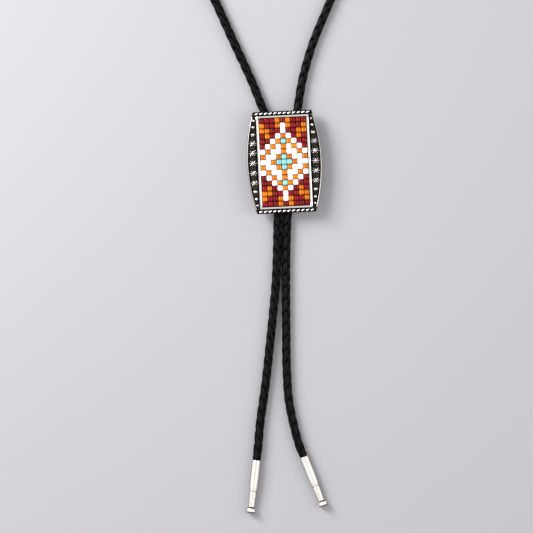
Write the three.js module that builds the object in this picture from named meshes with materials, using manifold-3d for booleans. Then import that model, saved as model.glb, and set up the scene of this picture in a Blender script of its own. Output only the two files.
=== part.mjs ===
// Bolo tie: a braided leather cord with two metal tips, and a beaded silver slide clasped on it.
// Millimetres, +Z up. The tie lies on a surface at z = 0 with the slide's face up.
// The origin is under the middle of the slide, and +Y runs up the slide towards the neck loop.

import * as THREE from 'three';
import { mergeVertices } from 'three/addons/utils/BufferGeometryUtils.js';
import Module from 'manifold-3d';

const wasm = await Module();
wasm.setup();

// Cord
const cordDiameter = 5.2;
const cordSides = 10;
const cordSteps = 80;
const cordPairGap = 0.4;         // between the two cords where they run side by side
const cordStraightExit = 8;      // the straight stretch at each tip's mouth

// Clasp: an oval sleeve round both cords
const claspWall = 0.8;
const claspLength = 16;
const claspMiddleY = -4;
const cordClearance = 0.3;       // between the cord and whatever holds it
const seatGap = 0.2;             // between two metal pieces that rest on each other

// Slide plate
const plateThickness = 1.0;
const panelWidth = 5.85;         // widest place between the bezel and the side rim
const endMargin = 1.75;          // from the bezel to the plate's corner, across the slide
const rimWidth = 0.7;
const rimHeight = 1.2;
const edgeStep = 0.1;            // the plate shows this far outside the rims and the ropes
const solderSink = 0.2;          // how deep each raised piece is soldered into the plate
const arcSegments = 16;          // half the straight steps along a side's arc

// Twisted rope wire across each end
const ropeDiameter = 2.3;
const ropeMarkPitch = 2.8;       // two marks make one whole turn of the twist
const ropeStrandShare = 0.56;    // a strand's diameter as a share of the rope's
const ropeGroove = 0.25;         // between the rope and the bezel
const ropeSink = 0.35;           // how deep the rope is soldered into the plate
const ropeSides = 12;
const ropeRingsPerTurn = 9.3;    // not whole, so that no two lobes meet the plate alike

// Bead field and bezel
const beadColumns = 9;
const beadRows = 17;
const beadPitchX = 3.15;
const beadPitchY = 3.12;
const beadHeight = 2.9;
const beadPanelChamfer = 0.4;
const bezelSideWall = 1.65;
const bezelEndWall = 1.4;
const bezelHeight = 2.5;

// Raised work down each side panel
const burstRays = 8;
const burstCoreShare = 0.45;     // radius between two rays, as a share of the rays' length
const dotSides = 8;
const reliefHeight = 0.45;

// Motifs from the middle of a side panel to its end. y is a share of half the slide's length,
// across and tall are shares of the panel's width there, and a motif has rays or is a plain dot.
const motifTable = [
  { y: 0.000, across: 0.86, tall: 0.62, rays: true },
  { y: 0.196, across: 0.86, tall: 0.62, rays: true },
  { y: 0.386, across: 0.86, tall: 0.62, rays: true },
  { y: 0.558, across: 0.70, tall: 0.50, rays: true },
  { y: 0.705, across: 0.56, tall: 0.42, rays: false },
  { y: 0.831, across: 0.62, tall: 0.50, rays: false },
  { y: 0.922, across: 0.62, tall: 0.54, rays: false },
];

// Metal tip: from its mouth to its button end
const tipLength = 32;
const tipMouthDiameter = 5.4;
const tipBoreDiameter = 4.5;
const tipBoreDepth = 9;
const tipRingDiameter = 4.5;
const tipNeckDiameter = 2.6;
const buttonDiameter = 5.8;
const tipSides = 16;
const cordEndInset = 0.5;        // from the cord's end to the floor of the tip's socket

// Tip outline: s is the share of the tip's length from its mouth, of the diameter named
const tipTable = [
  { s: 0.000, of: 'mouth', share: 0.97 },
  { s: 0.016, of: 'mouth', share: 1.00 },
  { s: 0.300, of: 'mouth', share: 1.00 },
  { s: 0.500, of: 'mouth', share: 0.96 },
  { s: 0.582, of: 'ring', share: 1.04 },
  { s: 0.590, of: 'ring', share: 0.92 },
  { s: 0.606, of: 'ring', share: 0.92 },
  { s: 0.614, of: 'ring', share: 1.00 },
  { s: 0.880, of: 'ring', share: 0.80 },
  { s: 0.892, of: 'neck', share: 1.00 },
  { s: 0.908, of: 'neck', share: 1.00 },
  { s: 0.914, of: 'button', share: 0.72 },
  { s: 0.935, of: 'button', share: 0.94 },
  { s: 0.957, of: 'button', share: 1.00 },
  { s: 0.980, of: 'button', share: 0.90 },
  { s: 1.000, of: 'button', share: 0.52 },
];

// Heights and widths that follow from the sizes above
const cordRadius = cordDiameter / 2;
const channelRadius = cordRadius + cordClearance;
const claspHalfHeight = channelRadius + claspWall;
const cordPairHalf = (cordDiameter + cordPairGap) / 2;
const claspCordZ = claspHalfHeight;
const plateBottomZ = 2 * claspHalfHeight + seatGap;
const plateTopZ = plateBottomZ + plateThickness;
const fieldWidth = beadColumns * beadPitchX;
const fieldLength = beadRows * beadPitchY;
const bezelHalfWidth = fieldWidth / 2 + bezelSideWall;
const bezelHalfLength = fieldLength / 2 + bezelEndWall;
const halfMiddleWidth = bezelHalfWidth + panelWidth + rimWidth + edgeStep;
const halfEndWidth = bezelHalfWidth + endMargin;
const ropeCenterY = bezelHalfLength + ropeGroove + ropeDiameter / 2;
const halfLength = ropeCenterY + ropeDiameter / 2 + edgeStep;
const tipAxisZ = Math.max(buttonDiameter, tipMouthDiameter) / 2;

// Where the cord leaves each tip, and where each tip points. Angles are from -Y towards +X.
const tips = [
  { name: 'tip_left', x: -25.2, y: -178.1, angle: -9.1 },
  { name: 'tip_right', x: 3.3, y: -177.4, angle: 19.2 },
];

// The cord's route from the left tip's mouth, through the clasp, round the neck and back down to
// the right tip. Lift is how far the cord's middle rises from lying on the surface to its height
// in the clasp.
const claspLow = claspMiddleY - claspLength / 2;
const claspHigh = claspMiddleY + claspLength / 2;
const cordRoute = [
  { x: -21.9, y: -155.4, lift: 0 },
  { x: -17.6, y: -132.6, lift: 0 },
  { x: -14.0, y: -109.9, lift: 0 },
  { x: -11.0, y: -90.0, lift: 0 },
  { x: -8.4, y: -71.0, lift: 0 },
  { x: -6.8, y: -53.0, lift: 0 },
  { x: -5.6, y: -35.5, lift: 0.4 },
  { x: -cordPairHalf, y: claspLow, lift: 1 },
  { x: -cordPairHalf, y: claspHigh, lift: 1 },
  { x: -5.0, y: 17.0, lift: 0.8 },
  { x: -10.7, y: 30.9, lift: 0.3 },
  { x: -17.4, y: 50.0, lift: 0 },
  { x: -26.1, y: 71.5, lift: 0 },
  { x: -36.3, y: 97.5, lift: 0 },
  { x: -47.0, y: 124.0, lift: 0 },
  { x: -54.0, y: 151.5, lift: 0 },
  { x: -47.5, y: 178.5, lift: 0 },
  { x: -28.0, y: 198.5, lift: 0 },
  { x: -1.0, y: 205.5, lift: 0 },
  { x: 26.0, y: 198.5, lift: 0 },
  { x: 45.5, y: 179.0, lift: 0 },
  { x: 52.0, y: 152.0, lift: 0 },
  { x: 44.0, y: 121.0, lift: 0 },
  { x: 31.8, y: 94.5, lift: 0 },
  { x: 20.1, y: 69.3, lift: 0 },
  { x: 13.2, y: 48.5, lift: 0 },
  { x: 9.3, y: 31.0, lift: 0.3 },
  { x: 5.4, y: 17.0, lift: 0.8 },
  { x: cordPairHalf, y: claspHigh, lift: 1 },
  { x: cordPairHalf, y: claspLow, lift: 1 },
  { x: 0.0, y: -35.7, lift: 0.4 },
  { x: -1.5, y: -54.8, lift: 0 },
  { x: -2.7, y: -78.0, lift: 0 },
  { x: -3.7, y: -101.5, lift: 0 },
  { x: -4.5, y: -125.6, lift: 0 },
  { x: -3.9, y: -145.0, lift: 0 },
];

// A closed mesh as a solid for booleans, with its shared corners merged
function toManifold(geometry) {
  const bare = geometry.clone();
  bare.deleteAttribute('normal');
  bare.deleteAttribute('uv');
  const merged = mergeVertices(bare, 1e-4);
  return new wasm.Manifold(new wasm.Mesh({
    numProp: 3,
    vertProperties: new Float32Array(merged.attributes.position.array),
    triVerts: new Uint32Array(merged.index.array),
  }));
}

function toGeometry(solid) {
  const mesh = solid.getMesh();
  const geometry = new THREE.BufferGeometry();
  const positions = new THREE.Float32BufferAttribute(mesh.vertProperties, mesh.numProp);
  geometry.setAttribute('position', positions);
  geometry.setIndex(new THREE.Uint32BufferAttribute(mesh.triVerts, 1));
  geometry.computeVertexNormals();
  return geometry;
}

function unite(geometries) {
  const solids = geometries.map(toManifold);
  return toGeometry(solids.reduce((whole, solid) => whole.add(solid)));
}

function extrudeUp(shape, bottomZ, topZ) {
  const geometry = new THREE.ExtrudeGeometry(shape, {
    depth: topZ - bottomZ, bevelEnabled: false, curveSegments: arcSegments,
  });
  geometry.translate(0, 0, bottomZ);
  return geometry;
}

function rectangle(halfX, halfY) {
  return new THREE.Shape([
    new THREE.Vector2(-halfX, -halfY),
    new THREE.Vector2(halfX, -halfY),
    new THREE.Vector2(halfX, halfY),
    new THREE.Vector2(-halfX, halfY),
  ]);
}

// A ring of points round a centre; radii repeat in turn, so two radii make a star
function pointedShape(centerX, centerY, halfX, halfY, radii, count) {
  const points = [];
  for (let i = 0; i < count; i += 1) {
    const angle = (2 * Math.PI * i) / count;
    const radius = radii[i % radii.length];
    points.push(new THREE.Vector2(
      centerX + halfX * radius * Math.cos(angle),
      centerY + halfY * radius * Math.sin(angle),
    ));
  }
  return new THREE.Shape(points);
}

// The slide's bulging side is one arc through the plate's two corners and its widest point
const sideBulge = halfMiddleWidth - halfEndWidth;
const sideRadius = (halfLength ** 2 + sideBulge ** 2) / (2 * sideBulge);
const sideCenterX = halfMiddleWidth - sideRadius;
const sideAngle = Math.asin(halfLength / sideRadius);

function plateOutline() {
  const shape = new THREE.Shape();
  shape.absarc(sideCenterX, 0, sideRadius, -sideAngle, sideAngle, false);
  shape.absarc(-sideCenterX, 0, sideRadius, Math.PI - sideAngle, Math.PI + sideAngle, false);
  return shape;
}

// A side rim runs from one rope to the other, a step inside the plate's edge
function sideRim(side) {
  const middle = side > 0 ? 0 : Math.PI;
  const centerX = side * sideCenterX;
  const outer = sideRadius - edgeStep;
  const reach = Math.asin((bezelHalfLength + ropeGroove / 2) / outer);
  const shape = new THREE.Shape();
  shape.absarc(centerX, 0, outer, middle - reach, middle + reach, false);
  shape.absarc(centerX, 0, outer - rimWidth, middle + reach, middle - reach, true);
  return extrudeUp(shape, plateTopZ - solderSink, plateTopZ + rimHeight);
}

function bezelWall() {
  const shape = rectangle(bezelHalfWidth, bezelHalfLength);
  shape.holes.push(rectangle(fieldWidth / 2, fieldLength / 2));
  return extrudeUp(shape, plateTopZ - solderSink, plateTopZ + bezelHeight);
}

// Two strands twisted together: each section is two overlapping circles, turned along X
function twistedRope(centerY) {
  const strandRadius = (ropeDiameter * ropeStrandShare) / 2;
  const strandOffset = ropeDiameter / 2 - strandRadius;
  const turnLength = 2 * ropeMarkPitch;
  const ropeHalfLength = halfEndWidth - edgeStep;
  const ringCount = Math.ceil((2 * ropeHalfLength / turnLength) * ropeRingsPerTurn);
  const centerZ = plateTopZ + ropeDiameter / 2 - ropeSink;
  const positions = [];
  for (let ring = 0; ring <= ringCount; ring += 1) {
    const x = -ropeHalfLength + (2 * ropeHalfLength * ring) / ringCount;
    const twist = (-2 * Math.PI * x) / turnLength;
    for (let i = 0; i < ropeSides; i += 1) {
      const angle = (2 * Math.PI * i) / ropeSides;
      const across = strandOffset * Math.sin(angle);
      const radius = strandOffset * Math.abs(Math.cos(angle))
        + Math.sqrt(strandRadius ** 2 - across ** 2);
      positions.push(
        x,
        centerY + radius * Math.cos(angle + twist),
        centerZ + radius * Math.sin(angle + twist),
      );
    }
  }
  return closedSweep(positions, ringCount, ropeSides);
}

// Rings of points joined into one closed body, with a flat cap at each end
function closedSweep(positions, ringCount, sides) {
  const index = [];
  for (let ring = 0; ring < ringCount; ring += 1) {
    for (let i = 0; i < sides; i += 1) {
      const a = ring * sides + i;
      const b = ring * sides + ((i + 1) % sides);
      index.push(a, b, a + sides, b, b + sides, a + sides);
    }
  }
  const last = ringCount * sides;
  for (let i = 1; i < sides - 1; i += 1) {
    index.push(0, i + 1, i);
    index.push(last, last + i, last + i + 1);
  }
  const geometry = new THREE.BufferGeometry();
  geometry.setAttribute('position', new THREE.Float32BufferAttribute(positions, 3));
  geometry.setIndex(index);
  return geometry;
}

// One raised motif, centred between the bezel and the side rim at its own height on the slide
function sideMotif(side, end, motif) {
  const y = end * motif.y * halfLength;
  const rimX = sideCenterX + Math.sqrt((sideRadius - edgeStep - rimWidth) ** 2 - y ** 2);
  const room = rimX - bezelHalfWidth;
  const x = side * (bezelHalfWidth + room / 2);
  const radii = motif.rays ? [1, burstCoreShare] : [1];
  const count = motif.rays ? 2 * burstRays : dotSides;
  const shape = pointedShape(x, y, room * motif.across / 2, room * motif.tall / 2, radii, count);
  return extrudeUp(shape, plateTopZ - solderSink, plateTopZ + reliefHeight);
}

function sideMotifs() {
  const made = [];
  for (const side of [-1, 1]) {
    for (const motif of motifTable) {
      const ends = motif.y === 0 ? [1] : [-1, 1];
      ends.forEach((end) => made.push(sideMotif(side, end, motif)));
    }
  }
  return made;
}

function slideFrame() {
  return unite([
    extrudeUp(plateOutline(), plateBottomZ, plateTopZ),
    sideRim(-1),
    sideRim(1),
    bezelWall(),
    twistedRope(ropeCenterY),
    twistedRope(-ropeCenterY),
    ...sideMotifs(),
  ]);
}

function beadPanel() {
  const shape = rectangle(fieldWidth / 2 - seatGap, fieldLength / 2 - seatGap);
  const geometry = new THREE.ExtrudeGeometry(shape, {
    depth: beadHeight - 2 * beadPanelChamfer,
    bevelThickness: beadPanelChamfer,
    bevelSize: beadPanelChamfer,
    bevelOffset: -beadPanelChamfer,
    bevelSegments: 1,
  });
  geometry.translate(0, 0, plateTopZ + seatGap + beadPanelChamfer);
  return geometry;
}

function ovalPath(path, radius) {
  path.absarc(cordPairHalf, 0, radius, -Math.PI / 2, Math.PI / 2, false);
  path.absarc(-cordPairHalf, 0, radius, Math.PI / 2, 1.5 * Math.PI, false);
  return path;
}

// The sleeve's oval is drawn upright and extruded along Y
function cordClasp() {
  const shape = ovalPath(new THREE.Shape(), claspHalfHeight);
  shape.holes.push(ovalPath(new THREE.Path(), channelRadius));
  const geometry = extrudeUp(shape, 0, claspLength);
  geometry.rotateX(Math.PI / 2);
  geometry.translate(0, claspHigh, claspCordZ);
  return geometry;
}

function tipDirection(tip) {
  const angle = THREE.MathUtils.degToRad(tip.angle);
  return new THREE.Vector3(Math.sin(angle), -Math.cos(angle), 0);
}

// A point on a tip's axis, so far past its mouth, or before it if the distance is negative
function onTipAxis(tip, distance) {
  return new THREE.Vector3(tip.x, tip.y, tipAxisZ).addScaledVector(tipDirection(tip), distance);
}

function metalTip() {
  const diameters = {
    mouth: tipMouthDiameter, ring: tipRingDiameter, neck: tipNeckDiameter, button: buttonDiameter,
  };
  const outline = [
    new THREE.Vector2(0, tipBoreDepth),
    new THREE.Vector2(tipBoreDiameter / 2, tipBoreDepth),
    new THREE.Vector2(tipBoreDiameter / 2, 0),
  ];
  for (const row of tipTable) {
    outline.push(new THREE.Vector2((diameters[row.of] * row.share) / 2, row.s * tipLength));
  }
  outline.push(new THREE.Vector2(0, tipLength));
  return new THREE.LatheGeometry(outline, tipSides);
}

function cordCurve() {
  const [left, right] = tips;
  const route = cordRoute.map((point) => new THREE.Vector3(
    point.x,
    point.y,
    cordRadius + point.lift * (claspCordZ - cordRadius),
  ));
  const points = [
    onTipAxis(left, -cordClearance),
    onTipAxis(left, -cordStraightExit),
    ...route,
    onTipAxis(right, -cordStraightExit),
    onTipAxis(right, -cordClearance),
  ];
  const curve = new THREE.CatmullRomCurve3(points, false, 'centripetal');
  curve.arcLengthDivisions = 2000;
  return curve;
}

// The cord's end, squeezed thinner where it goes into the tip's socket
function cordEnd(tip) {
  const outside = 1 + cordClearance;
  const inside = tipBoreDepth - cordEndInset;
  const radius = tipBoreDiameter / 2 - cordClearance;
  const geometry = new THREE.CylinderGeometry(radius, radius, outside + inside, cordSides);
  geometry.rotateZ(Math.PI + THREE.MathUtils.degToRad(tip.angle));
  const middle = onTipAxis(tip, (inside - outside) / 2);
  geometry.translate(middle.x, middle.y, middle.z);
  return geometry;
}

function cord() {
  const section = pointedShape(0, 0, cordRadius, cordRadius, [1], cordSides);
  const tube = new THREE.ExtrudeGeometry(section, {
    steps: cordSteps, extrudePath: cordCurve(), bevelEnabled: false,
  });
  return unite([tube, ...tips.map(cordEnd)]);
}

const silver = new THREE.MeshStandardMaterial({ color: 0xc9c9c4, roughness: 0.3, metalness: 1 });
const tipMetal = new THREE.MeshStandardMaterial({ color: 0xd2d2d0, roughness: 0.25, metalness: 1 });
const beads = new THREE.MeshStandardMaterial({ color: 0x9a1c28, roughness: 0.2, metalness: 0 });
const leather = new THREE.MeshStandardMaterial({ color: 0x17161a, roughness: 0.5, metalness: 0 });

const boloTie = new THREE.Group();

function addPiece(name, geometry, material) {
  const mesh = new THREE.Mesh(geometry, material);
  mesh.name = name;
  boloTie.add(mesh);
  return mesh;
}

addPiece('slide_frame', slideFrame(), silver);
addPiece('bead_panel', beadPanel(), beads);
addPiece('cord_clasp', cordClasp(), silver);
addPiece('cord', cord(), leather);
for (const tip of tips) {
  const mesh = addPiece(tip.name, metalTip(), tipMetal);
  mesh.position.set(tip.x, tip.y, tipAxisZ);
  mesh.rotation.z = Math.PI + THREE.MathUtils.degToRad(tip.angle);
}

export default boloTie;
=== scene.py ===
"""The looks of a bolo tie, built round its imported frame.

Lengths are in metres, except where a comment says millimetres.
"""

import math

import bpy
import numpy as np
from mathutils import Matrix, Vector


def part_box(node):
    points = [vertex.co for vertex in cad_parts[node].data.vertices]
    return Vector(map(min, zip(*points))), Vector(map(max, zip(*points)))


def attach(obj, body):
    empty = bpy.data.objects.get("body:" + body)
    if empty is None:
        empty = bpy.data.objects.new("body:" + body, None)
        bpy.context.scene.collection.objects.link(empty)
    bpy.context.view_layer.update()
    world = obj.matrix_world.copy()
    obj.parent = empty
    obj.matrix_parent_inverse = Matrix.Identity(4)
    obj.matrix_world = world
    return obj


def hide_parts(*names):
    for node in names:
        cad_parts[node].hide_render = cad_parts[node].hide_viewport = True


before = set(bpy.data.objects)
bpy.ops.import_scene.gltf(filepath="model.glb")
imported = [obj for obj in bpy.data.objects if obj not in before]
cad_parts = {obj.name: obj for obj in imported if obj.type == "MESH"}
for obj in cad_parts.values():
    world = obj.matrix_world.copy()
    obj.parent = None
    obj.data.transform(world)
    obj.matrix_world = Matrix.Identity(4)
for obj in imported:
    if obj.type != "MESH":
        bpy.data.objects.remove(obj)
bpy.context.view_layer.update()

MM = 0.001
BODY = "root"

# Cord
CORD_DIAMETER = 5.2 * MM
BRAID_RADIUS = 2.72 * MM         # to the outside of a lace where it crosses over
BRAID_PITCH = 15.0 * MM          # one whole turn of a lace round the cord
LACE_WIDTH = 4.7 * MM
LACE_THICKNESS = 1.1 * MM
LACE_RISE = 0.45 * MM            # how far a lace swings out over a crossing and in under the next
LACE_STEP = 2.6                  # how sharply it does so
LACE_SIDES = 14
LACE_EDGE = 0.85                 # under 1, so a lace is squarer than an oval
CORE_RADIUS = 1.2 * MM
CORE_SIDES, CORE_RINGS = 8, 300
CORD_STEP = 0.6 * MM
# The laces' unevenness: a wave's height, and the distance that one radian of it takes
WIDTH_WAVE = (0.05, 11.3 * MM)
WANDER_WAVES = [(0.042, 17.1 * MM), (0.028, 6.7 * MM)]
TURN_WAVE, TURN_PHASE = (6, 23 * MM), 0.6
# Where a lace gets painted sheen, with painted shade down its edges and where it passes under: how
# far up its own section, and how far over a crossing
SHEEN_TOP = (0.35, 0.95)
SHEEN_OVER = (-0.2, 0.9)
# How far the braid is turned about its own line, in degrees, by share of the cord's length
BRAID_TURNS = [(0.0, 75), (0.33, 62), (0.5, 45), (0.68, 30), (0.8, 16), (0.93, 10), (1.0, -38)]
CLASP_LIFT = 1.1 * MM            # from lying on the surface to the middle of the clasp
STRAIGHT_EXIT = 8 * MM
CORD_END_DEPTH = 8.5 * MM        # how far the cord goes into a tip
MOUTH_GAP = 0.3 * MM
TIP_SQUEEZE = 0.78               # the cord's thickness inside a tip, as a share
SQUEEZE_START = 0.1 * MM         # it thickens again from here outside the mouth
SQUEEZE_END = 1.3 * MM
REST_HEIGHT = 0.02 * MM          # the laces lie flat where they meet the surface

# Tips
TIP_AXIS_Z = 2.9 * MM
TOP_LINE_REFLECTION = 0.74           # painted reflection: less polish along the line that lies uppermost
TIP_FLANK_SHADE = 0.74            # painted shade: polish taken off down both flanks
# Painted shade down the button's flanks
BUTTON_FLANK_SHADE = 0.6
TIP_FLANK = (0.81, 0.95)         # where the flanks' painted shade begins and is full, in shares of the radius
BUTTON_START = 28.3              # millimetres from the mouth
BUTTON_SHOULDER = 31.3
TIP_SIDES = 48
# A tip's form in millimetres: distance from the mouth, then radius
TIP_NECK = [(19.45, 2.26), (28.05, 1.84)]
FINE_RINGS = (21.2, 23.2, 24.3, 25.4, 26.6)
RING_HALF_WIDTH, RING_DEPTH = 0.22, 0.07
BUTTON_MIDDLE, BUTTON_REACH = (30.50, 1.42), (1.60, 1.47)
BUTTON_ARC = (-52, 60)           # degrees round its middle
BUTTON_STEPS = 12
BUTTON_SHADE_STEP, BUTTON_SHADE = 8, 0.42    # painted shade: the polish from this step on
# Each tip's mouth, and the direction the tip points from there, from -Y towards +X
TIPS = {
    "tip_left": (-25.2 * MM, -178.1 * MM, math.radians(-9.1)),
    "tip_right": (3.3 * MM, -177.4 * MM, math.radians(19.2)),
}

# The cord's route in millimetres: x, y and its share of the lift into the clasp
CORD_ROUTE = [
    (-21.9, -155.4, 0), (-17.6, -132.6, 0), (-14.0, -109.9, 0), (-11.0, -90.0, 0),
    (-8.4, -71.0, 0), (-6.8, -53.0, 0), (-5.6, -35.5, 0.4),
    (-2.8, -12.0, 1), (-2.8, 4.0, 1), (-5.0, 17.0, 0.8), (-10.7, 30.9, 0.3),
    (-17.4, 50.0, 0), (-26.1, 71.5, 0), (-36.3, 97.5, 0), (-47.0, 124.0, 0),
    (-54.0, 151.5, 0), (-47.5, 178.5, 0), (-28.0, 198.5, 0), (-1.0, 205.5, 0),
    (26.0, 198.5, 0), (45.5, 179.0, 0), (52.0, 152.0, 0), (44.0, 121.0, 0),
    (31.8, 94.5, 0), (20.1, 69.3, 0), (13.2, 48.5, 0), (9.3, 31.0, 0.3), (5.4, 17.0, 0.8),
    (2.8, 4.0, 1), (2.8, -12.0, 1), (0.0, -35.7, 0.4), (-1.5, -54.8, 0),
    (-2.7, -78.0, 0), (-3.7, -101.5, 0), (-4.5, -125.6, 0), (-3.9, -145.0, 0),
]

# Silver: the polish changes by the tarnish noise times the spread, plus the least
TARNISH_SPREAD, TARNISH_LEAST = 0.16, -0.10

# Slide, from the frame's own boxes and its named walls
SLIDE_LOW, SLIDE_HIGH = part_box("slide_frame")
PANEL_LOW, PANEL_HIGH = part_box("bead_panel")
SEAT_GAP = 0.2 * MM
PLATE_BOTTOM = SLIDE_LOW.z
PLATE_TOP = PLATE_BOTTOM + 1.0 * MM
HALF_LENGTH = SLIDE_HIGH.y
HALF_MIDDLE = SLIDE_HIGH.x
FIELD_X = PANEL_HIGH.x + SEAT_GAP
FIELD_Y = PANEL_HIGH.y + SEAT_GAP
BEZEL_SIDE = 1.65 * MM
BEZEL_END = 1.4 * MM
BEZEL_X = FIELD_X + BEZEL_SIDE
BEZEL_Y = FIELD_Y + BEZEL_END
BEZEL_TOP = PLATE_TOP + 2.5 * MM
HALF_END = BEZEL_X + 1.75 * MM
EDGE_STEP = 0.1 * MM             # from the plate's edge to the rims and the ropes
SIDE_POINTS, END_POINTS = 49, 11
RIM_WIDTH = 0.62 * MM
RIM_HEIGHT = 1.2 * MM
RIM_MIDDLE = 0.55                # the wire's middle, as a share of its height
RIM_OVERLAP = 0.12 * MM
RIM_RINGS = 90
RIM_SHINE, RIM_POLISH = (0.45, 0.95), 0.78
ROPE_RADIUS = 1.15 * MM
ROPE_MARK = 2.8 * MM             # from one strand's crossing of the top to the next
ROPE_STRANDS = 2
ROPE_STRAND = 0.74 * MM          # a wire's radius: the two are pressed into each other
ROPE_SINK = 0.35 * MM
ROPE_Y = HALF_LENGTH - EDGE_STEP - ROPE_RADIUS
ROPE_STEP = 0.12 * MM
ROPE_TAPER = 0.6 * MM            # from a wire's end to its full thickness
ROPE_LEAST = 0.02 * MM           # the taper starts here, so that the end isn't a point
ROPE_SHINE = (0.74, 0.90)        # heights, as shares of the rope's radius, between dull and bright
WIRE_SIDES = 14
OVERLAP = 0.1 * MM               # how far pieces that are soldered together run into each other

SIDE_BULGE = HALF_MIDDLE - HALF_END
SIDE_RADIUS = (HALF_LENGTH**2 + SIDE_BULGE**2) / (2 * SIDE_BULGE)
SIDE_CENTER = HALF_MIDDLE - SIDE_RADIUS

# Motifs from the middle of a side panel to its end: y as a share of half the slide, half width
# and half height of the raised middle in millimetres, and the reach of its rays
MOTIFS = [
    (0.000, 0.85, 0.52, 1.0),
    (0.196, 0.85, 0.52, 1.0),
    (0.386, 0.85, 0.52, 0.94),
    (0.558, 1.10, 0.70, 0.60),
    (0.705, 1.10, 0.80, 0.0),
    (0.831, 0.92, 0.70, 0.0),
    (0.922, 0.60, 0.48, 0.0),
]
# A burst's rays: the direction in degrees and the length in millimetres
RAYS = [
    (0, 2.5), (180, 2.5), (43, 2.2), (137, 2.2), (-43, 2.2), (-137, 2.2), (90, 1.2), (-90, 1.2),
]
RAY_HALF_WIDTH = 0.31 * MM
RAY_TAPER = 0.4                  # the share of its width that a ray loses towards its end
RAY_HEIGHT = 0.26 * MM
BOSS_HEIGHT = 0.62 * MM
BOSS_EDGE = 0.4                  # the smaller, the steeper the raised middle's sides
MOTIF_SHINE = (0.3, 0.8)         # heights, as shares of a ray's, between dull and bright
PANEL_GROUND = 0.10 * MM         # the lowest height of the relief
RELIEF_INSET = 0.6               # in from the rim's outer side, as a share of its width
PANEL_COLUMNS, PANEL_ROWS = 58, 640
# The hatched diamonds between the motifs
HATCH_PITCH = 1.45 * MM
HATCH_WIDE, HATCH_TALL = 0.84, 0.86    # shares of the room they have
HATCH_EDGE = 0.12
HATCH_HEIGHT = 0.26 * MM
KNOB_SHARPNESS = 1.5
HATCH_DULL, HATCH_SHINE = 0.02, 0.46

# Beads
COLUMNS, ROWS = 9, 17
PITCH_X = 2 * FIELD_X / COLUMNS
PITCH_Y = 2 * FIELD_Y / ROWS
BEAD_RADIUS = (PANEL_HIGH.z - PANEL_LOW.z) / 2
BEAD_Z = (PANEL_LOW.z + PANEL_HIGH.z) / 2
BEAD_SIDES = 24
BEAD_SQUARE = 3.0                # 2 is a circle, and more is squarer
WHITE_GROWTH = 1.02              # the opaque white beads are the fullest
BRICK_SHARE = 0.45               # of the red beads
# The range of each bead's own height, thickness, width and length, and how far it leans
BEAD_DROP = (-0.08 * MM, 0.02 * MM)
BEAD_FULLNESS = (0.9991, 1.0403)
BEAD_WIDTH = (0.985, 1.01)
BEAD_LENGTH = (0.955, 0.985)
BEAD_LEAN = 0.012
# The glass's tint: a painted highlight each side of the thread, in shares of half the width and of
# the length, and painted shade at the ends
HIGHLIGHT_PLACE, HIGHLIGHT_WIDTH, HIGHLIGHT_LENGTH = 0.5, 0.22, 0.27
# Where the painted shade at a bead's ends begins and is full, and the share of the tint it leaves
SHADED_ENDS, END_SHADE = (0.34, 0.47), 0.3
# Tint from the base, from the bead's own tone, and from the painted highlight
BASE_TINT, OWN_TINT, HIGHLIGHT_TINT = 0.15, 0.25, 0.80
GLASS_COLORS = {                 # dark and light
    "red": ((0.02, 0.0002, 0.0006), (0.37, 0.010, 0.018)),
    "brick": ((0.02, 0.001, 0.0006), (0.30, 0.020, 0.011)),
    "orange": ((0.18, 0.022, 0.0004), (0.93, 0.29, 0.014)),
    "turquoise": ((0.09, 0.27, 0.28), (0.40, 0.92, 0.91)),
    "white": ((0.94, 0.94, 0.94), (0.98, 0.98, 0.98)),
}
# The pattern, by rows out from the middle on the middle column, and by columns and rows elsewhere
SPINE_COLORS = {
    2: "orange", 3: "orange", 4: "turquoise", 5: "orange", 6: "white", 7: "white", 8: "brick",
}
ORANGE_STEPS = {(1, 7), (1, 8), (3, 5), (3, 6), (4, 6), (4, 7)}
THREAD_RADIUS = 0.32 * MM
THREAD_SIDES, THREAD_RINGS = 8, 60

# Camera: the photograph's scale, middle and roll
PHOTO_SIZE = 533
MM_PER_PIXEL = 0.6
SLIDE_PIXEL = (284.3, 162.0)
ROLL = math.radians(2.75)
CAMERA_DISTANCE = 2.4            # above the plane of the photograph's scale
SCALE_PLANE = 6 * MM
SENSOR = 36.0

# Floor and lights: each light's place, size and watts
FLOOR_HALF = 3.0
WORLD_STRENGTH = 0.96
LIGHT_TARGET = (0.0, -0.05, 0.0)
LIGHTS = {
    "key": ((-0.66, 0.46, 0.66), (0.35, 0.6), 15),
    "fill": ((1.0, -0.1, 0.95), (0.4, 1.0), 5),
}


def add_mesh(name, verts, faces, materials, smooth=True, face_materials=None):
    mesh = bpy.data.meshes.new(name)
    mesh.from_pydata([tuple(v) for v in verts], [], [tuple(f) for f in faces])
    for material in materials:
        mesh.materials.append(material)
    if face_materials is not None:
        mesh.polygons.foreach_set("material_index", np.asarray(face_materials, np.int32))
    mesh.polygons.foreach_set("use_smooth", [smooth] * len(mesh.polygons))
    mesh.update()
    made = bpy.data.objects.new(name, mesh)
    bpy.context.scene.collection.objects.link(made)
    return made


def set_attribute(made, name, values):
    attribute = made.data.attributes.new(name, "FLOAT", "POINT")
    attribute.data.foreach_set("value", np.asarray(values, np.float32))


def sweep_faces(rings, sides, start=0):
    """Faces of a tube of rings by sides points, with closed ends, numbered from start."""
    faces = []
    for r in range(rings - 1):
        for k in range(sides):
            a = start + r * sides + k
            b = start + r * sides + (k + 1) % sides
            faces.append((a, b, b + sides, a + sides))
    faces.append(tuple(start + k for k in reversed(range(sides))))
    faces.append(tuple(start + (rings - 1) * sides + k for k in range(sides)))
    return faces


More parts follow.
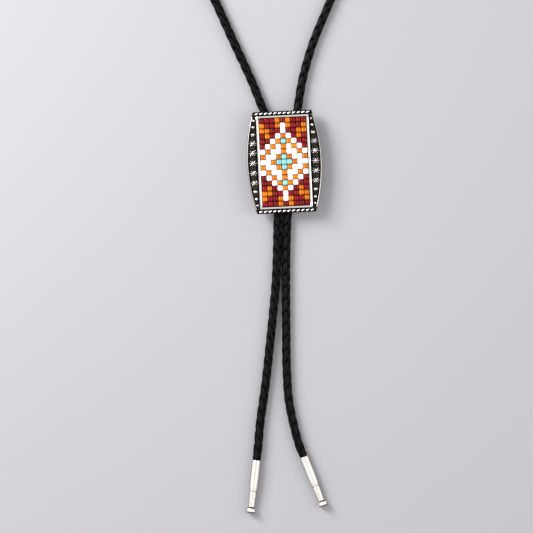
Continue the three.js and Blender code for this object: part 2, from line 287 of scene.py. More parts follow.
def loop_faces(rings, sides, start=0):
    """Faces of a tube of rings by sides points whose last ring joins its first."""
    faces = []
    for r in range(rings):
        here = start + r * sides
        ahead = start + (r + 1) % rings * sides
        for k in range(sides):
            n = (k + 1) % sides
            faces.append((here + k, here + n, ahead + n, ahead + k))
    return faces


def smoothstep(low, high, value):
    t = np.clip((value - low) / (high - low), 0, 1)
    return t * t * (3 - 2 * t)


# Materials

def new_material(name):
    material = bpy.data.materials.new(name)
    material.use_nodes = True
    return material, material.node_tree.nodes, material.node_tree.links


def set_inputs(node, **values):
    for name, value in values.items():
        node.inputs[name.replace("_", " ")].default_value = value


def noise_node(nodes, links, scale, detail=4.0, roughness=0.55, stretch=None):
    coordinates = nodes.new("ShaderNodeTexCoord")
    noise = nodes.new("ShaderNodeTexNoise")
    set_inputs(noise, Scale=scale, Detail=detail, Roughness=roughness)
    if stretch is None:
        links.new(coordinates.outputs["Object"], noise.inputs["Vector"])
    else:
        mapping = nodes.new("ShaderNodeMapping")
        mapping.inputs["Scale"].default_value = stretch
        links.new(coordinates.outputs["Object"], mapping.inputs["Vector"])
        links.new(mapping.outputs["Vector"], noise.inputs["Vector"])
    return noise


def ramp_node(nodes, links, source, stops):
    ramp = nodes.new("ShaderNodeValToRGB")
    links.new(source, ramp.inputs["Fac"])
    elements = ramp.color_ramp.elements
    while len(elements) < len(stops):
        elements.new(0.5)
    for element, (place, color) in zip(elements, stops):
        element.position = place
        element.color = (*color, 1.0)
    return ramp


def value_range(nodes, links, source, low, high):
    made = nodes.new("ShaderNodeMapRange")
    made.inputs["To Min"].default_value = low
    made.inputs["To Max"].default_value = high
    links.new(source, made.inputs["Value"])
    return made


def add_bump(nodes, links, source, shader, strength, distance):
    bump = nodes.new("ShaderNodeBump")
    set_inputs(bump, Strength=strength, Distance=distance)
    links.new(source, bump.inputs["Height"])
    links.new(bump.outputs["Normal"], shader.inputs["Normal"])


def leather_material():
    """Black leather, a little greyer where the crown attribute holds painted sheen on the laces."""
    material, nodes, links = new_material("black_leather")
    shader = nodes["Principled BSDF"]
    shader.inputs["Specular IOR Level"].default_value = 0.06
    crown_sheen = nodes.new("ShaderNodeAttribute")
    crown_sheen.attribute_name = "crown_sheen"
    mottle = noise_node(nodes, links, scale=420, detail=3)
    sheen = nodes.new("ShaderNodeMath")
    sheen.operation = "MULTIPLY"
    links.new(crown_sheen.outputs["Fac"], sheen.inputs[0])
    links.new(mottle.outputs["Fac"], sheen.inputs[1])
    # The painted sheen lifts the colour from near black
    color = ramp_node(nodes, links, sheen.outputs["Value"], [
        (0.0, (0.0002, 0.0002, 0.0003)),
        (0.65, (0.0068, 0.0066, 0.0074)),
    ])
    links.new(color.outputs["Color"], shader.inputs["Base Color"])
    rough = value_range(nodes, links, mottle.outputs["Fac"], 0.32, 0.46)
    links.new(rough.outputs["Result"], shader.inputs["Roughness"])
    grain = noise_node(nodes, links, scale=2600, detail=5, roughness=0.65)
    add_bump(nodes, links, grain.outputs["Fac"], shader, strength=0.35, distance=0.12 * MM)
    return material


def silver_material(name, roughness, metallic, half_polished):
    """Polished where the polish attribute is 1, and oxidised black where it is 0."""
    material, nodes, links = new_material(name)
    shader = nodes["Principled BSDF"]
    shader.inputs["Metallic"].default_value = metallic
    polish = nodes.new("ShaderNodeAttribute")
    polish.attribute_name = "polish"
    tarnish = noise_node(nodes, links, scale=900, detail=4, roughness=0.6)
    spread = nodes.new("ShaderNodeMath")
    spread.operation = "MULTIPLY_ADD"
    links.new(tarnish.outputs["Fac"], spread.inputs[0])
    spread.inputs[1].default_value = TARNISH_SPREAD
    spread.inputs[2].default_value = TARNISH_LEAST
    total = nodes.new("ShaderNodeMath")
    total.operation = "ADD"
    total.use_clamp = True
    links.new(polish.outputs["Fac"], total.inputs[0])
    links.new(spread.outputs["Value"], total.inputs[1])
    color = ramp_node(nodes, links, total.outputs["Value"], [
        (0.0, (0.008, 0.007, 0.006)),
        (0.35, (0.098, 0.074, 0.058)),
        (0.75, half_polished),
        (1.0, (0.90, 0.89, 0.875)),
    ])
    links.new(color.outputs["Color"], shader.inputs["Base Color"])
    rough = value_range(nodes, links, total.outputs["Value"], 0.52, roughness)
    links.new(rough.outputs["Result"], shader.inputs["Roughness"])
    scratches = noise_node(nodes, links, scale=3000, detail=3, roughness=0.6)
    add_bump(nodes, links, scratches.outputs["Fac"], shader, strength=0.12, distance=0.05 * MM)
    return material


def plain_metal_material():
    material, nodes, links = new_material("satin_metal")
    shader = nodes["Principled BSDF"]
    set_inputs(shader, Metallic=1.0, Base_Color=(0.62, 0.61, 0.60, 1.0))
    along_y = (8.0, 1.0, 8.0)
    brushing = noise_node(nodes, links, scale=300, detail=3, roughness=0.6, stretch=along_y)
    rough = value_range(nodes, links, brushing.outputs["Fac"], 0.28, 0.46)
    links.new(rough.outputs["Result"], shader.inputs["Roughness"])
    add_bump(nodes, links, brushing.outputs["Fac"], shader, strength=0.1, distance=0.05 * MM)
    return material


def glass_material(name, dark, light):
    """Opaque glass whose colour follows the tint attribute, from dark at 0 to light at 1."""
    material, nodes, links = new_material(name)
    shader = nodes["Principled BSDF"]
    set_inputs(shader, Roughness=0.2, Specular_IOR_Level=0.14, Subsurface_Weight=0.3)
    set_inputs(shader, Subsurface_Scale=1 * MM, Subsurface_Radius=(1.0, 1.0, 1.0))
    tint = nodes.new("ShaderNodeAttribute")
    tint.attribute_name = "tint"
    color = ramp_node(nodes, links, tint.outputs["Fac"], [(0.0, dark), (1.0, light)])
    links.new(color.outputs["Color"], shader.inputs["Base Color"])
    return material


def thread_material():
    material, nodes, links = new_material("beading_thread")
    shader = nodes["Principled BSDF"]
    shader.inputs["Roughness"].default_value = 0.8
    along_y = (1.0, 0.2, 1.0)
    fibre = noise_node(nodes, links, scale=5000, detail=3, roughness=0.6, stretch=along_y)
    color = ramp_node(nodes, links, fibre.outputs["Fac"], [
        (0.3, (0.10, 0.015, 0.015)),
        (0.7, (0.22, 0.03, 0.03)),
    ])
    links.new(color.outputs["Color"], shader.inputs["Base Color"])
    return material


def floor_material():
    material, nodes, _ = new_material("pale_floor")
    set_inputs(nodes["Principled BSDF"], Roughness=0.9, Base_Color=(0.36, 0.358, 0.375, 1.0))
    return material


# Camera, floor and lights

def photo_point(pixel_x, pixel_y):
    """The part-frame point under a pixel of the photograph, on the slide's plane."""
    across = (pixel_x - SLIDE_PIXEL[0]) * MM_PER_PIXEL * MM
    up = (SLIDE_PIXEL[1] - pixel_y) * MM_PER_PIXEL * MM
    x = across * math.cos(ROLL) + up * math.sin(ROLL)
    y = -across * math.sin(ROLL) + up * math.cos(ROLL)
    return x, y


def make_camera():
    x, y = photo_point(PHOTO_SIZE / 2, PHOTO_SIZE / 2)
    data = bpy.data.cameras.new("camera")
    data.sensor_width = SENSOR
    data.lens = SENSOR * CAMERA_DISTANCE / (PHOTO_SIZE * MM_PER_PIXEL * MM)
    data.clip_start = 0.01
    data.clip_end = 20
    camera = bpy.data.objects.new("camera", data)
    camera.location = (x, y, SCALE_PLANE + CAMERA_DISTANCE)
    camera.rotation_euler = (0, 0, -ROLL)
    bpy.context.scene.collection.objects.link(camera)
    bpy.context.scene.camera = camera


def area_light(name, place, size, power):
    data = bpy.data.lights.new(name, "AREA")
    data.shape = "RECTANGLE"
    data.size, data.size_y = size
    data.energy = power
    light = bpy.data.objects.new(name, data)
    light.location = place
    direction = Vector(LIGHT_TARGET) - Vector(place)
    light.rotation_euler = direction.to_track_quat("-Z", "Y").to_euler()
    bpy.context.scene.collection.objects.link(light)


def make_stage():
    half = FLOOR_HALF
    corners = [(-half, -half, 0), (half, -half, 0), (half, half, 0), (-half, half, 0)]
    floor = add_mesh("floor", corners, [(0, 1, 2, 3)], [floor_material()], smooth=False)
    bpy.context.scene.world = studio_world()
    for name, (place, size, power) in LIGHTS.items():
        area_light(name, place, size, power)
    bpy.context.scene.view_settings.view_transform = "Standard"


def studio_world():
    """A bright soft room, dimmer towards the horizon and straight overhead."""
    world = bpy.data.worlds.new("studio")
    world.use_nodes = True
    nodes, links = world.node_tree.nodes, world.node_tree.links
    background = nodes["Background"]
    background.inputs["Strength"].default_value = WORLD_STRENGTH
    coordinates = nodes.new("ShaderNodeTexCoord")
    split = nodes.new("ShaderNodeSeparateXYZ")
    links.new(coordinates.outputs["Generated"], split.inputs["Vector"])
    ramp = ramp_node(nodes, links, split.outputs["Z"], [
        (0.0, (0.50, 0.50, 0.51)),
        (0.3, (0.78, 0.78, 0.80)),
        (0.65, (0.96, 0.96, 0.98)),
        (0.94, (1.0, 1.0, 1.0)),
        (0.985, (0.72, 0.62, 0.53)),
    ])
    links.new(ramp.outputs["Color"], background.inputs["Color"])
    return world


# Cord

def tip_direction(angle):
    return np.array([math.sin(angle), -math.cos(angle), 0.0])


def on_tip_axis(tip, distance):
    x, y, angle = TIPS[tip]
    return np.array([x, y, TIP_AXIS_Z]) + tip_direction(angle) * distance


def centripetal_curve(points, per_span=24):
    """A smooth curve through the points, the centripetal Catmull-Rom spline."""
    points = np.array(points)
    first = 2 * points[0] - points[1]
    last = 2 * points[-1] - points[-2]
    padded = np.vstack([first, points, last])
    made = []
    for i in range(1, len(padded) - 2):
        p0, p1, p2, p3 = padded[i - 1:i + 3]
        t0 = 0.0
        t1 = t0 + math.sqrt(np.linalg.norm(p1 - p0))
        t2 = t1 + math.sqrt(np.linalg.norm(p2 - p1))
        t3 = t2 + math.sqrt(np.linalg.norm(p3 - p2))
        for t in np.linspace(t1, t2, per_span, endpoint=False):
            a1 = (t1 - t) / (t1 - t0) * p0 + (t - t0) / (t1 - t0) * p1
            a2 = (t2 - t) / (t2 - t1) * p1 + (t - t1) / (t2 - t1) * p2
            a3 = (t3 - t) / (t3 - t2) * p2 + (t - t2) / (t3 - t2) * p3
            b1 = (t2 - t) / (t2 - t0) * a1 + (t - t0) / (t2 - t0) * a2
            b2 = (t3 - t) / (t3 - t1) * a2 + (t - t1) / (t3 - t1) * a3
            made.append((t2 - t) / (t2 - t1) * b1 + (t - t1) / (t2 - t1) * b2)
    made.append(points[-1])
    return np.array(made)


def cord_points():
    route = []
    for x, y, lift in CORD_ROUTE:
        route.append((x * MM, y * MM, CORD_DIAMETER / 2 + lift * CLASP_LIFT))
    return [
        on_tip_axis("tip_left", CORD_END_DEPTH),
        on_tip_axis("tip_left", -MOUTH_GAP),
        on_tip_axis("tip_left", -STRAIGHT_EXIT),
        *route,
        on_tip_axis("tip_right", -STRAIGHT_EXIT),
        on_tip_axis("tip_right", -MOUTH_GAP),
        on_tip_axis("tip_right", CORD_END_DEPTH),
    ]


class CordLine:
    """The cord's middle line, looked up by the distance along it."""

    def __init__(self, points):
        self.curve = centripetal_curve(points)
        steps = np.linalg.norm(np.diff(self.curve, axis=0), axis=1)
        self.along = np.concatenate([[0], np.cumsum(steps)])
        self.length = self.along[-1]

    def at(self, distance):
        distance = np.clip(distance, 0, self.length)
        columns = [np.interp(distance, self.along, self.curve[:, k]) for k in range(3)]
        return np.stack(columns, axis=-1)

    def frames(self, distance):
        """The sideways and upward directions at each distance."""
        reach = 1.5 * MM
        distance = np.clip(distance, 0, self.length)
        ahead = self.at(np.minimum(distance + reach, self.length))
        behind = self.at(np.maximum(distance - reach, 0))
        tangent = ahead - behind
        tangent /= np.linalg.norm(tangent, axis=-1, keepdims=True)
        side = np.cross(tangent, np.array([0.0, 0.0, 1.0]))
        side /= np.linalg.norm(side, axis=-1, keepdims=True)
        return side, np.cross(side, tangent)


def squeeze(line, distance):
    """The cord's thickness share: thinner where it goes into a tip."""
    from_end = np.minimum(distance, line.length - distance)
    outside = from_end - CORD_END_DEPTH
    return TIP_SQUEEZE + (1 - TIP_SQUEEZE) * smoothstep(SQUEEZE_START, SQUEEZE_END, outside)


def wave(size, along, phase):
    """A small wave: size is its height and the distance that one radian of it takes."""
    height, reach = size
    return height * np.sin(along / reach + phase)


def braid_turn(line, distance):
    """How far the braid is turned from straight up, with a small waver."""
    shares, turns = zip(*BRAID_TURNS)
    turn = np.interp(distance / line.length, shares, turns)
    return np.radians(turn + wave(TURN_WAVE, distance, TURN_PHASE))


def lace_rings(line, hand, start_angle, seed):
    """One lace of the braid: hand is 1 or -1, for the way it winds."""
    along = np.arange(0, line.length, CORD_STEP)
    middle = BRAID_RADIUS - LACE_RISE - LACE_THICKNESS / 2
    slope = math.atan(2 * math.pi * (middle + LACE_RISE) / BRAID_PITCH)
    spin = 2 * math.pi / BRAID_PITCH
    random = np.random.default_rng(seed)
    phases = random.uniform(0, 2 * math.pi, 3)
    width = LACE_WIDTH * (1 + wave(WIDTH_WAVE, along, phases[0]))
    wander = sum(wave(size, along, phase) for size, phase in zip(WANDER_WAVES, phases[1:]))
    rings, crown_sheens = [], []
    for angle in np.linspace(0, 2 * math.pi, LACE_SIDES, endpoint=False):
        across = width / 2 * math.cos(angle)
        tall = math.copysign(abs(math.sin(angle)) ** LACE_EDGE, math.sin(angle))
        lift = LACE_THICKNESS / 2 * tall
        turn = hand * spin * along + start_angle + wander
        turn = turn + across * math.cos(slope) / (middle + LACE_RISE)
        place = along - hand * across * math.sin(slope)
        over = np.tanh(LACE_STEP * np.cos(2 * turn)) / math.tanh(LACE_STEP)
        radius = (middle + hand * LACE_RISE * over + lift) * squeeze(line, place)
        side, up = line.frames(place)
        shown = turn + braid_turn(line, place)
        out = np.cos(shown)[:, None] * up + np.sin(shown)[:, None] * side
        rings.append(line.at(place) + radius[:, None] * out)
        # Painted sheen on the outer face of a lace where it crosses over, painted shade at its edges
        # and where it passes under
        sheen = smoothstep(*SHEEN_TOP, math.sin(angle)) * smoothstep(*SHEEN_OVER, hand * over)
        crown_sheens.append(sheen)
    return np.stack(rings, axis=1), np.stack(crown_sheens, axis=1)


def core_rings(line):
    """The plain core that the laces wind round."""
    along = np.linspace(0, line.length, CORE_RINGS)
    side, up = line.frames(along)
    rings = []
    for angle in np.linspace(0, 2 * math.pi, CORE_SIDES, endpoint=False):
        out = math.cos(angle) * up + math.sin(angle) * side
        rings.append(line.at(along) + (CORE_RADIUS * squeeze(line, along))[:, None] * out)
    return np.stack(rings, axis=1), np.zeros((len(along), len(rings)))


def make_cord():
    line = CordLine(cord_points())
    tubes = [core_rings(line)]
    for hand in (1, -1):
        for half_turn in (0, math.pi):
            tubes.append(lace_rings(line, hand, half_turn, len(tubes)))
    verts, faces, shine = [], [], []
    for rings, crown_sheens in tubes:
        rings[..., 2] = np.maximum(rings[..., 2], REST_HEIGHT)
        count, sides = rings.shape[:2]
        faces += sweep_faces(count, sides, len(verts))
        verts += list(rings.reshape(-1, 3))
        shine += list(crown_sheens.reshape(-1))
    cord = add_mesh("braided_cord", verts, faces, [leather_material()])
    set_attribute(cord, "crown_sheen", shine)
    if mesh_volume(cord) < 0:
        cord.data.flip_normals()
    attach(cord, BODY)
    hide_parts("cord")
    return cord


def mesh_volume(made):
    """The signed volume, negative if the faces point in."""
    mesh = made.data
    mesh.calc_loop_triangles()
    corners = np.empty(len(mesh.vertices) * 3)
    mesh.vertices.foreach_get("co", corners)
    corners = corners.reshape(-1, 3)
    triangles = np.empty(len(mesh.loop_triangles) * 3, np.int32)
    mesh.loop_triangles.foreach_get("vertices", triangles)
    a, b, c = (corners[triangles.reshape(-1, 3)[:, k]] for k in range(3))
    return float(np.einsum("ij,ij->i", a, np.cross(b, c)).sum() / 6)


# Tips

def tip_profile():
    """Distance from the mouth, radius and polish down the tip, in millimetres."""
    rows = [
        (0.00, 2.28, 0.3), (0.00, 2.54, 0.9), (0.12, 2.67, 1.0), (0.45, 2.70, 1.0),
        (0.80, 2.69, 1.0), (9.6, 2.68, 1.0), (12.5, 2.66, 1.0), (14.5, 2.61, 1.0), (16.0, 2.55, 1.0),
        (17.3, 2.46, 1.0), (17.50, 2.40, 0.8), (17.62, 2.35, 0.65), (17.76, 2.39, 0.9),
        (18.35, 2.36, 1.0), (18.58, 2.32, 0.9), (18.74, 2.10, 0.55), (19.02, 2.08, 0.45),
        (19.20, 2.22, 0.8), (*TIP_NECK[0], 1.0),
    ]
    for place in FINE_RINGS:
        radius = float(np.interp(place, *zip(*TIP_NECK)))
        rows.append((place - RING_HALF_WIDTH, radius, 1.0))
        rows.append((place, radius - RING_DEPTH, 0.7))
        rows.append((place + RING_HALF_WIDTH, radius, 1.0))
    rows += [
        (*TIP_NECK[1], 1.0), (28.30, 1.76, 0.5), (28.42, 1.42, 0.05), (28.95, 1.38, 0.0),
        (29.05, 1.85, 0.1), (29.12, 2.35, 0.6),
    ]
    rows += button_profile()
    rows += [(31.98, 1.5, 0.95), (32.0, 0.8, 1.0)]
    return rows


def button_profile():
    """The rows of the tip's rounded end, with painted shade past its widest place."""
    rows = []
    for k, degrees in enumerate(np.linspace(*BUTTON_ARC, BUTTON_STEPS + 1)):
        angle = math.radians(degrees)
        along = BUTTON_MIDDLE[0] + BUTTON_REACH[0] * math.sin(angle)
        radius = BUTTON_MIDDLE[1] + BUTTON_REACH[1] * math.cos(angle)
        rows.append((along, radius, 1.0 if k < BUTTON_SHADE_STEP else BUTTON_SHADE))
    return rows


def painted_tip_light(along, turn):
    """The share of the polish left on a tip: less down both flanks, as painted shade, and less along
    the line on top, as a painted reflection.
    """
    on_button = along >= BUTTON_START
    if along > BUTTON_SHOULDER:
        return 1.0
    # A darker painted reflection along the line on top
    if math.sin(turn) > 0.9999 and not on_button:
        return TOP_LINE_REFLECTION
    # Painted shade down the flanks
    flank = smoothstep(*TIP_FLANK, abs(math.cos(turn)))
    return 1 - (BUTTON_FLANK_SHADE if on_button else TIP_FLANK_SHADE) * flank


def make_tip(name, material):
    axis = tip_direction(TIPS[name][2])
    up = np.array([0.0, 0.0, 1.0])
    side = np.cross(axis, up)
    socket = [(9.0, 0.9, 0.1), (8.9, 2.20, 0.1), (0.5, 2.22, 0.1)]
    rows = socket + tip_profile()
    verts, polish = [], []
    for along, radius, shine in rows:
        middle = on_tip_axis(name, along * MM)
        for k in range(TIP_SIDES):
            turn = 2 * math.pi * k / TIP_SIDES
            out = math.cos(turn) * side + math.sin(turn) * up
            verts.append(middle + out * radius * MM)
            polish.append(shine * painted_tip_light(along, turn))
    faces = sweep_faces(len(rows), TIP_SIDES)
    tip = add_mesh(name + "_metal", verts, faces, [material])
    if mesh_volume(tip) < 0:
        tip.data.flip_normals()
    set_attribute(tip, "polish", polish)
    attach(tip, BODY)
    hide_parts(name)
    return tip


# Slide

def finish_slide_piece(made):
    if mesh_volume(made) < 0:
        made.data.flip_normals()
    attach(made, BODY)
    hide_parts("slide_frame")
    return made


def side_edge(y, inset):
    """X of the slide's bulging side at y, moved in by inset."""
    return SIDE_CENTER + np.sqrt((SIDE_RADIUS - inset) ** 2 - np.square(y))


def points_between(start, end, count):
    """Points on the straight line from start to end, without its two ends."""
    shares = np.linspace(0, 1, count + 2)[1:-1]
    return [tuple(np.array(start) * (1 - s) + np.array(end) * s) for s in shares]


def plate_ring(inset, z):
    """The plate's outline at one height, drawn in by inset."""
    reach = HALF_LENGTH - inset
    ys = np.linspace(-reach, reach, SIDE_POINTS)
    right = [(side_edge(y, inset), y, z) for y in ys]
    left = [(-side_edge(y, inset), y, z) for y in ys[::-1]]
    top = points_between(right[-1], left[0], END_POINTS)
    bottom = points_between(left[-1], right[0], END_POINTS)
    return right + top + left + bottom


def make_plate(material):
    """The barrel-shaped plate, its edges softly rounded."""
    soft = 0.25 * MM
    levels = [
        (soft, PLATE_BOTTOM, 0.5), (soft * 0.3, PLATE_BOTTOM + soft * 0.3, 0.5),
        (0, PLATE_BOTTOM + soft, 0.25), (0, PLATE_TOP - soft * 0.6, 0.25),
        (soft * 0.2, PLATE_TOP - soft * 0.2, 0.08), (soft * 0.6, PLATE_TOP, 0.02),
    ]
    verts, polish = [], []
    for inset, z, shine in levels:
        ring = plate_ring(inset, z)
        verts += ring
        polish += [shine] * len(ring)
    faces = sweep_faces(len(levels), len(verts) // len(levels))
    plate = add_mesh("slide_plate", verts, faces, [material])
    set_attribute(plate, "polish", polish)
    return finish_slide_piece(plate)


def motif_heights(x, y):
    """Height above the plate and polish of the raised work, at points of one side panel."""
    height = np.full(x.shape, PANEL_GROUND)
    polish = np.full(x.shape, 0.0)
    places = sorted({sign * row[0] for row in MOTIFS for sign in (-1, 1)})
    for low, high in zip(places[:-1], places[1:]):
        add_hatched_diamond(x, y, low * HALF_LENGTH, high * HALF_LENGTH, height, polish)
    for place in places:
        motif = next(row for row in MOTIFS if row[0] == abs(place))
        add_motif(x, y, place * HALF_LENGTH, motif, height, polish)
    return height, polish


def panel_middle(y):
    """X of a side panel's middle at y, and its width there."""
    inner = BEZEL_X
    outer = float(side_edge(y, EDGE_STEP + RIM_WIDTH))
    return (inner + outer) / 2, outer - inner


def add_hatched_diamond(x, y, low, high, height, polish):
    """A diamond of small knobs, from low to high in y."""
    middle_y = (low + high) / 2
    middle_x, room = panel_middle(middle_y)
    half_y = (high - low) / 2 * HATCH_TALL
    half_x = room / 2 * HATCH_WIDE
    inside = 1 - np.abs(x - middle_x) / half_x - np.abs(y - middle_y) / half_y
    shown = smoothstep(0.0, HATCH_EDGE, inside)
    lines = []
    for sign in (-1, 1):
        across = ((x - middle_x) + sign * (y - middle_y)) / HATCH_PITCH
        lines.append(0.5 + 0.5 * np.cos(2 * math.pi * across))
    knobs = (lines[0] * lines[1]) ** KNOB_SHARPNESS
    np.maximum(height, shown * (PANEL_GROUND + HATCH_HEIGHT * knobs), out=height)
    np.maximum(polish, shown * (HATCH_DULL + HATCH_SHINE * knobs), out=polish)


def add_motif(x, y, middle_y, motif, height, polish):
    """A raised oval, and round it a burst's rounded rays."""
    _, half_wide, half_tall, reach = motif
    middle_x, _ = panel_middle(middle_y)
    dx, dy = x - middle_x, y - middle_y
    round_part = 1 - (dx / (half_wide * MM)) ** 2 - (dy / (half_tall * MM)) ** 2
    shape = BOSS_HEIGHT * np.clip(round_part, 0, 1) ** BOSS_EDGE
    for degrees, length in RAYS if reach else []:
        direction = math.radians(degrees)
        along = dx * math.cos(direction) + dy * math.sin(direction)
        across = np.abs(dy * math.cos(direction) - dx * math.sin(direction))
        share = np.clip(along / (length * reach * MM), 0, 1)
        half_width = RAY_HALF_WIDTH * (1 - RAY_TAPER * share)
        ridge = np.sqrt(np.clip(1 - (across / half_width) ** 2, 0, 1))
        shape = np.maximum(shape, RAY_HEIGHT * ridge * (along > 0) * (share < 1))
    np.maximum(height, shape + PANEL_GROUND, out=height, where=shape > 0)
    np.maximum(polish, smoothstep(*MOTIF_SHINE, shape / RAY_HEIGHT), out=polish)


def make_side_panels(material):
    """The cast relief down both sides, as one fine sheet over the plate's top."""
    verts, faces, polish = [], [], []
    columns, rows = PANEL_COLUMNS, PANEL_ROWS
    reach = BEZEL_Y + OVERLAP
    ys = np.linspace(-reach, reach, rows)
    shares = np.linspace(0, 1, columns)
    inner = BEZEL_X - OVERLAP
    outer = side_edge(ys, EDGE_STEP + RIM_WIDTH * RELIEF_INSET)
    for side in (-1, 1):
        start = len(verts)
        x = inner + (outer - inner)[:, None] * shares[None, :]
        y = np.repeat(ys[:, None], columns, axis=1)
        height, shine = motif_heights(x, y)
        z = PLATE_TOP + height
        verts += list(np.stack([side * x, y, z], axis=-1).reshape(-1, 3))
        polish += list(shine.reshape(-1))
        for r in range(rows - 1):
            for c in range(columns - 1):
                a = start + r * columns + c
                quad = (a, a + 1, a + columns + 1, a + columns)
                faces.append(quad if side > 0 else quad[::-1])
    panels = add_mesh("side_panels", verts, faces, [material])
    set_attribute(panels, "polish", polish)
    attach(panels, BODY)
    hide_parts("slide_frame")
    return panels


def make_rims(material):
    """A half-round wire down each bulging side."""
    verts, faces, polish = [], [], []
    reach = BEZEL_Y + RIM_OVERLAP
    middle_inset = EDGE_STEP + RIM_WIDTH / 2
    turns = np.linspace(0, 2 * math.pi, WIRE_SIDES, endpoint=False)
    for side in (-1, 1):
        start = len(verts)
        for y in np.linspace(-reach, reach, RIM_RINGS):
            for turn in turns:
                inset = middle_inset - RIM_WIDTH / 2 * math.cos(turn)
                lift = RIM_HEIGHT * (RIM_MIDDLE + (1 - RIM_MIDDLE) * math.sin(turn))
                verts.append((side * float(side_edge(y, inset)), y, PLATE_TOP + lift))
                polish.append(RIM_POLISH * float(smoothstep(*RIM_SHINE, math.sin(turn))))
        faces += sweep_faces(RIM_RINGS, WIRE_SIDES, start)
    rims = add_mesh("side_rims", verts, faces, [material])
    set_attribute(rims, "polish", polish)
    return finish_slide_piece(rims)


def make_ropes(material):
    """Two wires twisted together along each end of the slide, bright where they cross the top."""
    verts, faces, polish = [], [], []
    offset = ROPE_RADIUS - ROPE_STRAND
    half = HALF_END - EDGE_STEP
    xs = np.arange(-half, half, ROPE_STEP)
    turns = np.linspace(0, 2 * math.pi, WIRE_SIDES, endpoint=False)
    axis_z = PLATE_TOP + ROPE_RADIUS - ROPE_SINK
    for end in (-1, 1):
        for phase in np.linspace(0, 2 * math.pi, ROPE_STRANDS, endpoint=False):
            start = len(verts)
            for x in xs:
                to_end = max(half - abs(x), ROPE_LEAST)
                small = math.sqrt(min(1.0, to_end / ROPE_TAPER))
                twist = -2 * math.pi * x / (ROPE_MARK * ROPE_STRANDS) + phase
                center = offset * np.array([math.cos(twist), math.sin(twist)])
                for turn in turns:
                    ring = ROPE_STRAND * small * np.array([math.cos(turn), math.sin(turn)])
                    spot = center + ring
                    verts.append((x, end * ROPE_Y + spot[0], axis_z + spot[1]))
                    polish.append(float(smoothstep(*ROPE_SHINE, spot[1] / ROPE_RADIUS)))
            faces += sweep_faces(len(xs), WIRE_SIDES, start)
    ropes = add_mesh("rope_edges", verts, faces, [material])
    set_attribute(ropes, "polish", polish)
    return finish_slide_piece(ropes)


def make_bezel(material):
    """The plain wall round the beads, its top softly rounded."""
    soft = 0.35 * MM
    low = PLATE_TOP - OVERLAP
    # Share of the wall's thickness, height and polish
    profile = [
        (0.00, low, 0.0), (0.00, BEZEL_TOP - 1.0 * MM, 0.0), (0.12, BEZEL_TOP - soft, 0.05),
        (0.18, BEZEL_TOP - soft * 0.45, 0.5), (0.28, BEZEL_TOP - soft * 0.15, 0.9),
        (0.56, BEZEL_TOP, 0.93), (0.82, BEZEL_TOP - soft * 0.15, 0.93),
        (0.92, BEZEL_TOP - soft * 0.45, 0.6), (1.00, BEZEL_TOP - soft, 0.2),
        (1.00, low + 0.8 * MM, 0.1), (1.00, low, 0.0),
    ]
    verts, polish = [], []
    per_side = 24
    corners = [(-1, -1), (1, -1), (1, 1), (-1, 1)]
    for k in range(4):
        start, end = corners[k], corners[(k + 1) % 4]
        for step in range(per_side):
            share = step / per_side
            sx = start[0] * (1 - share) + end[0] * share
            sy = start[1] * (1 - share) + end[1] * share
            for across, z, shine in profile:
                x = sx * (FIELD_X + BEZEL_SIDE * across)
                y = sy * (FIELD_Y + BEZEL_END * across)
                verts.append((x, y, z))
                polish.append(shine)
    faces = loop_faces(4 * per_side, len(profile))
    bezel = add_mesh("bezel", verts, faces, [material])
    set_attribute(bezel, "polish", polish)
    return finish_slide_piece(bezel)


# Beads

def bead_color(column, row):
    """The stepped diamond: colours go by steps out from the middle, alike in all four quarters."""
    c = abs(column - COLUMNS // 2)
    r = abs(row - ROWS // 2)
    steps = c + r
    if c == 0 and r in SPINE_COLORS:
        return SPINE_COLORS[r]
    if (c, r) in ORANGE_STEPS:
        return "orange"
    if steps <= 1:
        return "turquoise"
    if steps in (2, 5):
        return "orange"
    if steps in (3, 4, 6):
        return "white"
    return "red"


def bead_profile():
    """Half a bead's outline, from its hole round to its hole, in shares of radius and length."""
    hole = 0.30
    rows = [(hole, -0.40), (hole, -0.48), (0.40, -0.5), (0.72, -0.498)]
    rows += [(0.86, -0.478), (0.945, -0.435), (0.985, -0.37), (1.0, -0.25), (1.0, 0.0)]
    back = [(radius, -along) for radius, along in rows[:-1]]
    return rows + back[::-1]


def rounded_square(turn):
    """A point of a bead's cross-section, a little squarer than a circle."""
    wide, tall = math.cos(turn), math.sin(turn)
    size = (abs(wide) ** BEAD_SQUARE + abs(tall) ** BEAD_SQUARE) ** (1 / BEAD_SQUARE)
    return wide / size, tall / size


def bead_tone_and_light(own, along, wide, tall):
    """How light the glass looks: its own tone, with painted shade at the ends and a painted
    highlight each side of the thread.
    """
    spot = math.exp(-(((abs(wide) - HIGHLIGHT_PLACE) / HIGHLIGHT_WIDTH) ** 2) - (along / HIGHLIGHT_LENGTH) ** 2)
    # The painted highlight, on the upper half only
    lit = HIGHLIGHT_TINT * spot if tall > 0 else 0.0
    # Painted shade towards both ends, where a bead meets the next
    middle = 1 - smoothstep(*SHADED_ENDS, abs(along))
    return float((END_SHADE + (1 - END_SHADE) * middle) * (BASE_TINT + OWN_TINT * own + lit))


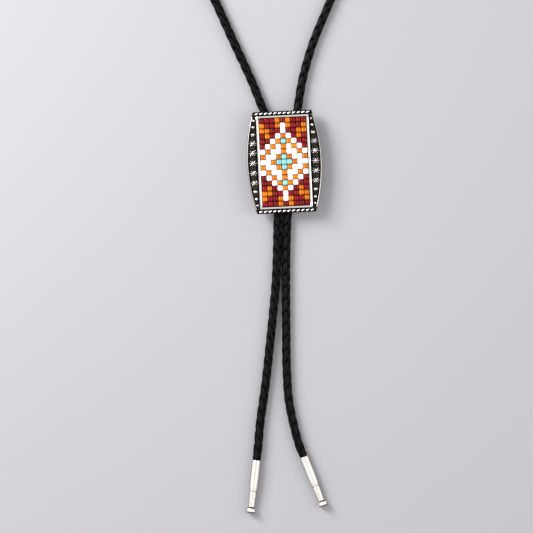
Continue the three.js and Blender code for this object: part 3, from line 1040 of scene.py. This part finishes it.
def draw_bead(random, row, column):
    """A bead's glass, place and size, each a little uneven. The order of the draws matters."""
    glass = bead_color(column, row)
    if glass == "red" and random.random() < BRICK_SHARE:
        glass = "brick"
    growth = WHITE_GROWTH if glass == "white" else 1.0
    return {
        "glass": glass,
        "x": (column - (COLUMNS - 1) / 2) * PITCH_X,
        "y": (row - (ROWS - 1) / 2) * PITCH_Y,
        "z": BEAD_Z + random.uniform(*BEAD_DROP),
        "radius": BEAD_RADIUS * random.uniform(*BEAD_FULLNESS),
        "half_wide": PITCH_X / 2 * random.uniform(*BEAD_WIDTH) * growth,
        "length": PITCH_Y * random.uniform(*BEAD_LENGTH) * growth,
        "lean": random.normal(0, BEAD_LEAN),
        "tint": random.uniform(0, 1),
    }


def bead_points(bead, profile, section):
    """A bead's points, and the tint at each."""
    points, tints = [], []
    cosine, sine = math.cos(bead["lean"]), math.sin(bead["lean"])
    for share, along in profile:
        down = bead["length"] * along
        for wide, tall in section:
            across = bead["half_wide"] * share * wide
            points.append((
                bead["x"] + across * cosine - down * sine,
                bead["y"] + across * sine + down * cosine,
                bead["z"] + bead["radius"] * share * tall,
            ))
            tints.append(bead_tone_and_light(bead["tint"], along, wide, tall))
    return points, tints


def make_beads():
    """Every bead of the panel, row by row, in one mesh."""
    names = list(GLASS_COLORS)
    glasses = [glass_material("glass_" + name, *GLASS_COLORS[name]) for name in names]
    random = np.random.default_rng(17)
    profile = bead_profile()
    section = [rounded_square(2 * math.pi * k / BEAD_SIDES) for k in range(BEAD_SIDES)]
    verts, faces, tints, indices = [], [], [], []
    for row in range(ROWS):
        for column in range(COLUMNS):
            bead = draw_bead(random, row, column)
            made = loop_faces(len(profile), BEAD_SIDES, len(verts))
            points, shades = bead_points(bead, profile, section)
            verts += points
            tints += shades
            faces += made
            indices += [names.index(bead["glass"])] * len(made)
    beads = add_mesh("glass_beads", verts, faces, glasses, face_materials=indices)
    set_attribute(beads, "tint", tints)
    if mesh_volume(beads) < 0:
        beads.data.flip_normals()
    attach(beads, BODY)
    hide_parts("bead_panel")


def make_threads():
    """The thread through each column of beads."""
    verts, faces = [], []
    for column in range(COLUMNS):
        middle_x = (column - (COLUMNS - 1) / 2) * PITCH_X
        start = len(verts)
        for y in np.linspace(-FIELD_Y, FIELD_Y, THREAD_RINGS):
            for k in range(THREAD_SIDES):
                turn = 2 * math.pi * k / THREAD_SIDES
                x = middle_x + THREAD_RADIUS * math.cos(turn)
                verts.append((x, y, BEAD_Z + THREAD_RADIUS * math.sin(turn)))
        faces += sweep_faces(THREAD_RINGS, THREAD_SIDES, start)
    threads = add_mesh("bead_threads", verts, faces, [thread_material()])
    if mesh_volume(threads) < 0:
        threads.data.flip_normals()
    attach(threads, BODY)
    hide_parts("bead_panel")


def dress_clasp():
    """The clasp stays as packed, in satin metal."""
    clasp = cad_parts["cord_clasp"]
    clasp.data.materials.clear()
    clasp.data.materials.append(plain_metal_material())


make_camera()
silver = silver_material("antiqued_silver", 0.2, 1.0, (0.70, 0.68, 0.65))
# The warm brown at three quarters polish colours the painted reflection line along the tips' tops
tip_metal = silver_material("bright_tip_metal", 0.2, 0.65, (0.68, 0.53, 0.42))
tip_pieces = [make_tip(name, tip_metal) for name in TIPS]
make_cord()
make_stage()
make_plate(silver)
make_side_panels(silver)
make_rims(silver)
make_ropes(silver)
make_bezel(silver)
make_beads()
make_threads()
dress_clasp()
